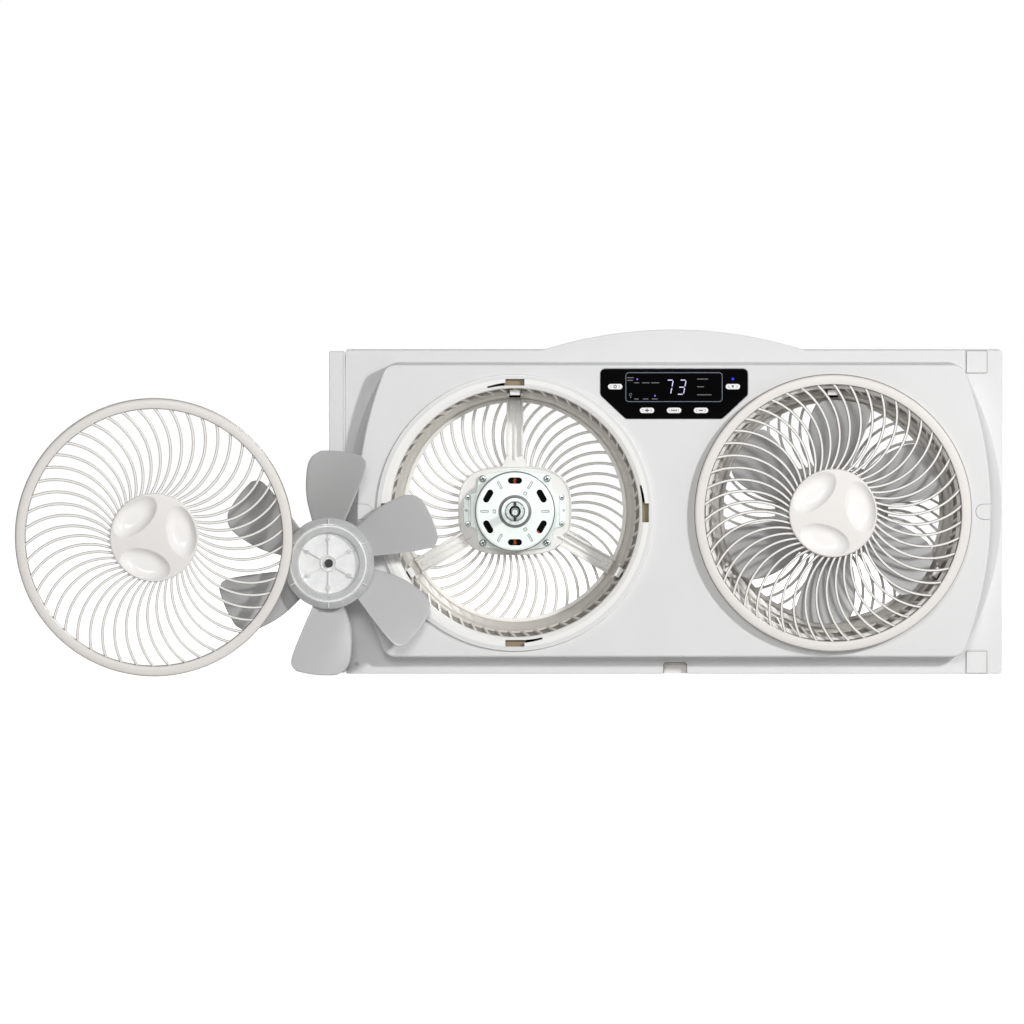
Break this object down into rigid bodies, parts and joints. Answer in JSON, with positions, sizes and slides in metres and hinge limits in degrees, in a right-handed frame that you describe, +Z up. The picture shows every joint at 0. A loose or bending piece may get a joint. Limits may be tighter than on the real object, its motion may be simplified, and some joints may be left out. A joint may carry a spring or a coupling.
{
  "type": "window fan",
  "caption": "Twin window fan with digital control panel; the left front grille and impeller are taken off.",
  "frame": {"origin": "on the bottom wall that stands on the sill, in the middle of its length and depth, behind the cord notch", "axes": "+X to the right seen from the room, +Y outdoors, +Z up"},
  "size_m": [1.0052, 0.1653, 0.3509],
  "materials": {
    "housing_plastic": "satin",
    "warm_white": "satin",
    "bar_white": "satin",
    "blade_grey": "satin",
    "zinc": "satin",
    "steel": "satin",
    "copper": "satin",
    "panel_black": "gloss",
    "smoked_window": "gloss",
    "inner_black": "matte",
    "circuit_board": "satin",
    "indicator": "gloss",
    "button_white": "satin"
  },
  "bodies": {
    "housing": {"rear_housing": "housing_plastic", "front_fascia": "housing_plastic", "upper_corner_cap": "housing_plastic", "lower_corner_cap": "housing_plastic", "control_bezel": "panel_black", "display_window": "smoked_window", "display_module": "inner_black", "left_capacitor": "inner_black", "right_capacitor": "inner_black", "control_board": "circuit_board", "power_board": "circuit_board", "status_led": "indicator", "left_duct": "warm_white", "left_motor_mount": "warm_white", "left_rear_grille": "bar_white", "left_motor_front_cover": "zinc", "left_motor_rear_cover": "zinc", "left_stator": "steel", "left_front_bearing": "steel", "left_rear_bearing": "steel", "left_winding": "copper", "left_motor_screw_upper_right": "steel", "left_motor_screw_upper_left": "steel", "left_motor_screw_lower_left": "steel", "left_motor_screw_lower_right": "steel", "right_duct": "warm_white", "right_motor_mount": "warm_white", "right_rear_grille": "bar_white", "right_motor_front_cover": "zinc", "right_motor_rear_cover": "zinc", "right_stator": "steel", "right_front_bearing": "steel", "right_rear_bearing": "steel", "right_winding": "copper", "right_motor_screw_upper_right": "steel", "right_motor_screw_upper_left": "steel", "right_motor_screw_lower_left": "steel", "right_motor_screw_lower_right": "steel"},
    "left_shaft_set": {"left_shaft": "steel", "left_rotor": "steel", "left_drive_pin": "steel"},
    "right_shaft_set": {"right_shaft": "steel", "right_rotor": "steel", "right_drive_pin": "steel", "right_impeller": "blade_grey"},
    "right_grille": {"right_front_grille": "bar_white"},
    "left_grille": {"left_front_grille": "bar_white"},
    "left_fan": {"left_impeller": "blade_grey"},
    "extender": {"side_extender": "housing_plastic"},
    "left_latch_tab": {"left_latch": "housing_plastic"},
    "right_latch_tab": {"right_latch": "housing_plastic"},
    "power_key": {"power_button": "button_white"},
    "mode_key": {"mode_button": "button_white"},
    "plus_key": {"plus_button": "button_white"},
    "set_key": {"set_button": "button_white"},
    "minus_key": {"minus_button": "button_white"}
  },
  "joints": [
    {"name": "left_shaft_spin", "type": "hinge", "parent": "housing", "child": "left_shaft_set", "pos_m": [-0.162, 0, 0.165], "axis": [0, 1, 0], "continuous": true},
    {"name": "right_fan_spin", "type": "hinge", "parent": "housing", "child": "right_shaft_set", "pos_m": [0.162, 0, 0.165], "axis": [0, 1, 0], "continuous": true},
    {"name": "right_grille_turn", "type": "hinge", "parent": "housing", "child": "right_grille", "pos_m": [0.162, -0.068, 0.165], "axis": [0, 1, 0], "range_deg": [0, 9.5]},
    {"name": "left_grille_return", "type": "slide", "parent": "housing", "child": "left_grille", "axis": [0.998, 0, 0.0636], "range_m": [0, 0.36925]},
    {"name": "left_impeller_return", "type": "slide", "parent": "housing", "child": "left_fan", "axis": [0.9658, 0, 0.2592], "range_m": [0, 0.19486]},
    {"name": "extender_slide", "type": "slide", "parent": "housing", "child": "extender", "axis": [-1, 0, 0], "range_m": [0, 0.1]},
    {"name": "left_latch_press", "type": "slide", "parent": "housing", "child": "left_latch_tab", "axis": [0, 1, 0], "range_m": [0, 0.0025], "stiffness_N_per_m": 600},
    {"name": "right_latch_press", "type": "slide", "parent": "housing", "child": "right_latch_tab", "axis": [0, 1, 0], "range_m": [0, 0.0025], "stiffness_N_per_m": 600},
    {"name": "power_press", "type": "slide", "parent": "housing", "child": "power_key", "axis": [0, 1, 0], "range_m": [0, 0.0012], "stiffness_N_per_m": 400},
    {"name": "mode_press", "type": "slide", "parent": "housing", "child": "mode_key", "axis": [0, 1, 0], "range_m": [0, 0.0012], "stiffness_N_per_m": 400},
    {"name": "plus_press", "type": "slide", "parent": "housing", "child": "plus_key", "axis": [0, 1, 0], "range_m": [0, 0.0012], "stiffness_N_per_m": 400},
    {"name": "set_press", "type": "slide", "parent": "housing", "child": "set_key", "axis": [0, 1, 0], "range_m": [0, 0.0012], "stiffness_N_per_m": 400},
    {"name": "minus_press", "type": "slide", "parent": "housing", "child": "minus_key", "axis": [0, 1, 0], "range_m": [0, 0.0012], "stiffness_N_per_m": 400}
  ]
}
